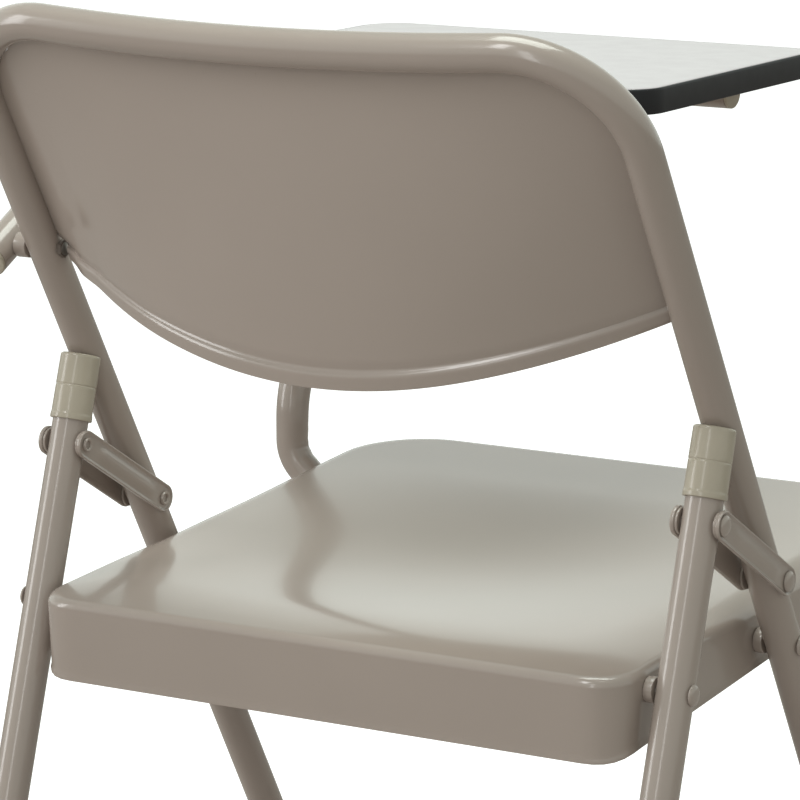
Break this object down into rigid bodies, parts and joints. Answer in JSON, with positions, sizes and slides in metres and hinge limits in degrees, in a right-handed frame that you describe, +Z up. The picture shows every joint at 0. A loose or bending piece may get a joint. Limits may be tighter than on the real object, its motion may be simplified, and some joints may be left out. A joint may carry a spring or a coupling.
{
  "type": "folding tablet arm chair",
  "caption": "Folding steel chair with bowed back panel, pressed seat, pivoted leg links and a writing tablet carried on a tube arm at the sitter's left.",
  "frame": {"origin": "on the floor, below the middle of the bounding box (tablet in front, rear feet behind, tablet on +X, rivet heads on -X)", "axes": "+Z up, the chair faces -Y, +X is the sitter's left, where the tablet arm is"},
  "size_m": [0.5064, 0.6296, 0.7747],
  "materials": {
    "frame_paint": "warm grey-beige gloss enamel",
    "panel_paint": "warm grey-beige gloss enamel on pressed sheet",
    "cap_plastic": "yellowish beige moulded plastic",
    "rivet_steel": "dull zinc-plated steel",
    "painted_rivet": "rivets and bushes painted with the frame",
    "black_nut": "black cap nut",
    "foot_rubber": "dark moulded rubber",
    "board_core": "brown particle board",
    "laminate_top": "pale grey-white laminate, satin",
    "edge_black": "black edge moulding"
  },
  "bodies": {
    "front_frame": {"front_frame": "frame_paint", "front_crossbar": "frame_paint", "front_foot_left": "foot_rubber", "front_foot_right": "foot_rubber", "back_panel": "panel_paint", "front_hinge_rivets": "painted_rivet", "front_hinge_bushes": "painted_rivet", "link_hinge_rivets": "painted_rivet", "arm_bolt": "rivet_steel", "arm_nut": "black_nut", "arm_spacer": "painted_rivet"},
    "link_left": {"link_plate_left_outer": "frame_paint", "link_plate_left_inner": "frame_paint", "link_washers_left": "painted_rivet"},
    "link_right": {"link_plate_right_outer": "frame_paint", "link_plate_right_inner": "frame_paint", "link_washers_right": "painted_rivet"},
    "rear_legs": {"rear_leg_left": "frame_paint", "rear_leg_right": "frame_paint", "rear_crossbar": "frame_paint", "rear_foot_left": "foot_rubber", "rear_foot_right": "foot_rubber", "leg_cap_left": "cap_plastic", "leg_cap_right": "cap_plastic", "cap_hinge_rivets": "painted_rivet", "rear_hinge_rivet_heads": "painted_rivet"},
    "seat": {"seat_pan": "panel_paint", "rear_hinge_studs": "painted_rivet", "rear_hinge_bushes": "painted_rivet", "bar_saddles": "frame_paint"},
    "arm": {"arm_tube": "frame_paint", "tablet_support_tube": "frame_paint", "arm_tube_caps": "cap_plastic", "tablet_board": "board_core", "tablet_laminate": "laminate_top", "tablet_edge": "edge_black", "tablet_screws": "rivet_steel"}
  },
  "joints": [
    {"name": "seat_hinge", "type": "hinge", "parent": "front_frame", "child": "seat", "pos_m": [-0.01678, 0.03624, 0.395], "axis": [-1, 0, 0], "range_deg": [0, 105]},
    {"name": "link_left_hinge", "type": "hinge", "parent": "front_frame", "child": "link_left", "pos_m": [-0.01678, 0.06229, 0.43977], "axis": [-1, 0, 0], "range_deg": [0, 126.2]},
    {"name": "link_right_hinge", "type": "hinge", "parent": "front_frame", "child": "link_right", "pos_m": [-0.01678, 0.06229, 0.43977], "axis": [-1, 0, 0], "range_deg": [0, 126.2]},
    {"name": "rear_legs_hinge", "type": "hinge", "parent": "link_left", "child": "rear_legs", "pos_m": [-0.01678, 0.14578, 0.48944], "axis": [1, 0, 0], "range_deg": [0, 77]},
    {"name": "arm_pivot", "type": "hinge", "parent": "front_frame", "child": "arm", "pos_m": [-0.01678, 0.16375, 0.61409], "axis": [1, 0, 0], "range_deg": [0, 20]}
  ],
  "couplings": [
    {"joint": "link_left_hinge", "follows": "seat_hinge", "ratio": 1.2013},
    {"joint": "link_right_hinge", "follows": "seat_hinge", "ratio": 1.2013},
    {"joint": "rear_legs_hinge", "follows": "seat_hinge", "ratio": 0.733}
  ]
}
